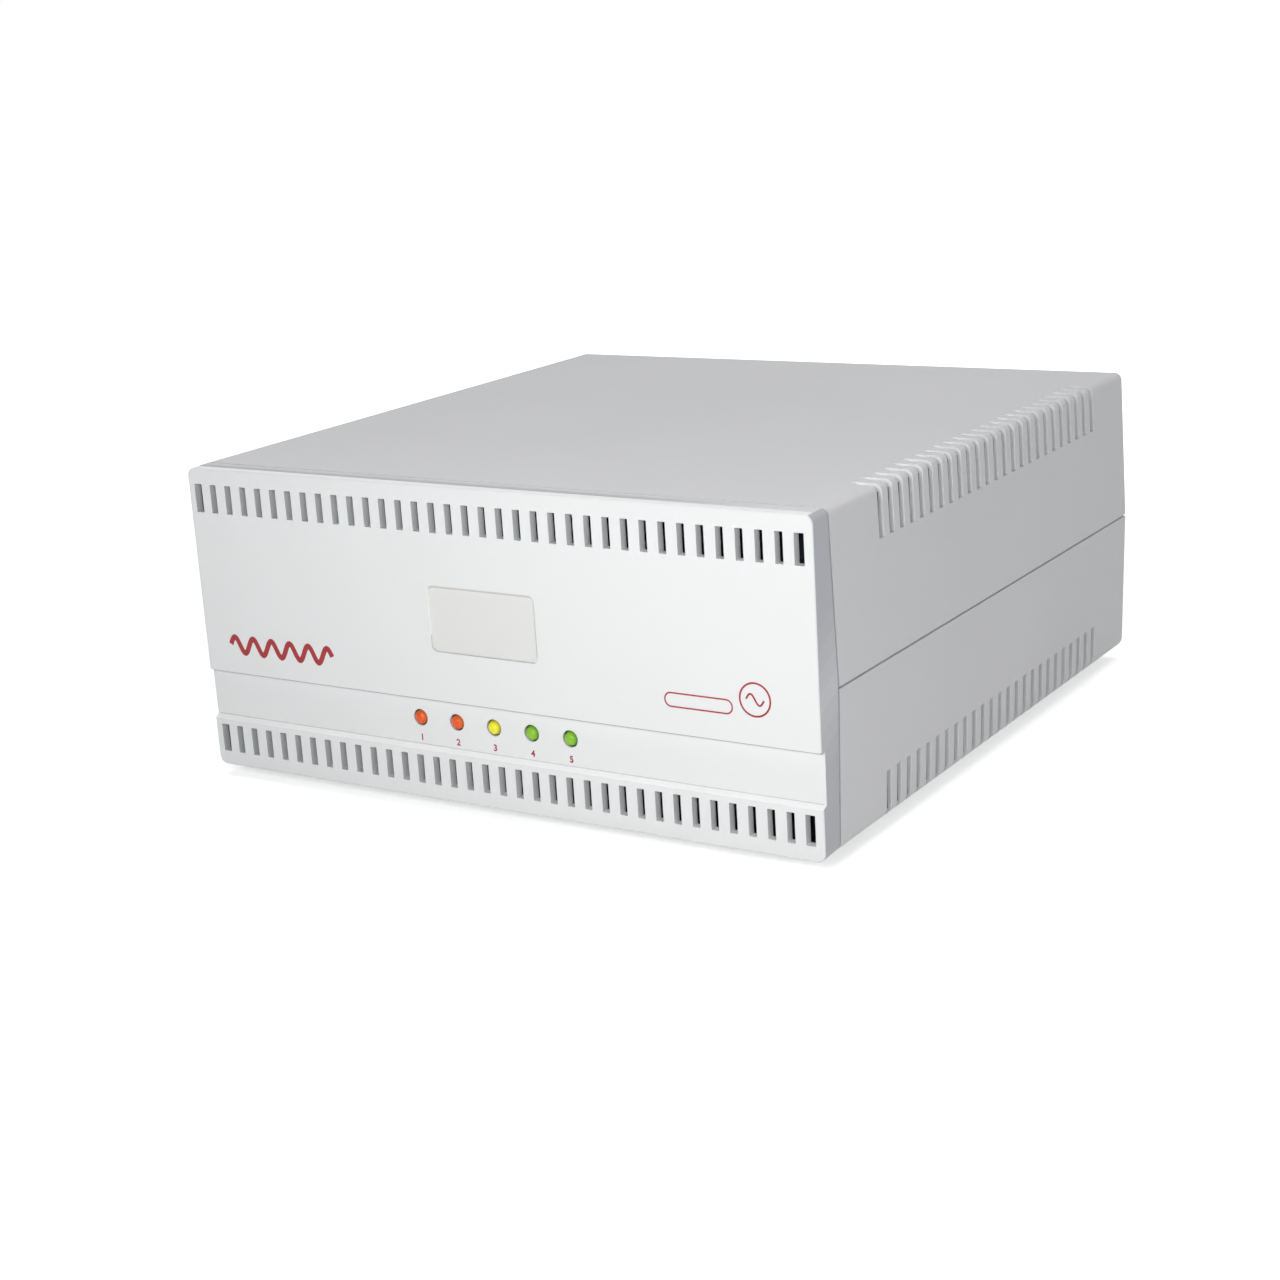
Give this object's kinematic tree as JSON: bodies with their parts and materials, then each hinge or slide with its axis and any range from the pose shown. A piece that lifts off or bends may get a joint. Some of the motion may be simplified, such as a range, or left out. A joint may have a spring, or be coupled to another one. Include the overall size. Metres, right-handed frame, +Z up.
{
  "type": "voltage stabilizer",
  "caption": "Desktop voltage stabilizer: moulded case with vented front panel and indicator lamps, rear outlets, inlet, rocker switch and reset button.",
  "frame": {"origin": "on the supporting surface, under the middle of the case", "axes": "+X to the right as seen from the front, +Y from the front panel to the rear, +Z up"},
  "size_m": [0.24, 0.24, 0.1085],
  "materials": {
    "shell_plastic": "fine spark-eroded texture, light grey ABS",
    "panel_plastic": "satin white ABS",
    "window_plastic": "matte warm grey blanking plate",
    "rear_paint": "fine textured grey powder coat",
    "foot_rubber": "moulded black rubber",
    "screw_steel": "zinc plated",
    "lamp_red": "tinted epoxy, orange-red",
    "lamp_yellow": "tinted epoxy, yellow",
    "lamp_green": "tinted epoxy, green",
    "circuit_board": "green solder mask",
    "header_plastic": "natural nylon",
    "cable_black": "PVC sheath",
    "plate_steel": "zinc plated sheet",
    "pad_rubber": "neoprene",
    "core_steel": "wound silicon steel strip",
    "winding_wire": "enamelled copper wire",
    "blue_tape": "polyester tape, dark blue",
    "relay_blue": "moulded relay case",
    "capacitor_sleeve": "PVC sleeve",
    "coil_tape": "yellow polyester tape",
    "chip_black": "moulded epoxy",
    "heat_sink_black": "black anodised",
    "block_green": "moulded polyamide",
    "socket_plastic": "moulded white thermoplastic",
    "contact_brass": "pressed brass",
    "tinned_steel": "tinned",
    "black_plastic": "moulded black polyamide",
    "rocker_red": "moulded red polycarbonate",
    "button_white": "moulded white",
    "wire_brown": "PVC insulation, brown",
    "wire_blue": "PVC insulation, blue",
    "wire_green": "PVC insulation, green and yellow",
    "wire_red": "PVC insulation, red",
    "sleeve_clear": "nylon sleeve"
  },
  "bodies": {
    "case": {"front_panel": "panel_plastic", "window_plate": "window_plastic", "upper_shell": "shell_plastic", "lower_shell": "shell_plastic", "rear_panel": "rear_paint", "feet": "foot_rubber", "case_screws": "screw_steel", "panel_screws": "screw_steel", "lamp_1": "lamp_red", "lamp_2": "lamp_red", "lamp_3": "lamp_yellow", "lamp_4": "lamp_green", "lamp_5": "lamp_green", "lamp_board": "circuit_board", "board_screws": "screw_steel", "pin_headers": "header_plastic", "lamp_cable": "cable_black", "base_plate": "plate_steel", "base_plate_screws": "screw_steel", "transformer_bolt": "screw_steel", "lower_pad": "pad_rubber", "transformer_core": "core_steel", "transformer_winding": "winding_wire", "transformer_tape": "blue_tape", "upper_pad": "pad_rubber", "dish_washer": "plate_steel", "transformer_nut": "screw_steel", "control_board": "circuit_board", "relays": "relay_blue", "capacitors": "capacitor_sleeve", "small_transformer_core": "core_steel", "small_transformer_coil": "coil_tape", "microcontroller": "chip_black", "driver_chip": "chip_black", "voltage_regulator": "chip_black", "heat_sink": "heat_sink_black", "mains_terminal_block": "block_green", "tap_terminal_block": "block_green", "socket_1": "socket_plastic", "socket_2": "socket_plastic", "socket_3": "socket_plastic", "live_bar": "contact_brass", "neutral_bar": "contact_brass", "earth_bar": "tinned_steel", "rear_screws": "screw_steel", "rear_nuts": "screw_steel", "inlet": "black_plastic", "inlet_pins": "tinned_steel", "switch_frame": "black_plastic", "switch_terminals": "contact_brass", "breaker_body": "black_plastic", "breaker_nut": "screw_steel", "earth_tab": "tinned_steel", "live_wires": "wire_brown", "neutral_wires": "wire_blue", "earth_wires": "wire_green", "tap_wires": "wire_red", "wire_connectors": "sleeve_clear"},
    "rocker": {"switch_rocker": "rocker_red"},
    "reset_button": {"breaker_button": "button_white"}
  },
  "joints": [
    {"name": "rocker_tilt", "type": "hinge", "parent": "case", "child": "rocker", "pos_m": [0.072, 0.112, 0.064], "axis": [1, 0, 0], "range_deg": [0, 20]},
    {"name": "reset_button_pop", "type": "slide", "parent": "case", "child": "reset_button", "axis": [0, 1, 0], "range_m": [0, 0.004]}
  ]
}
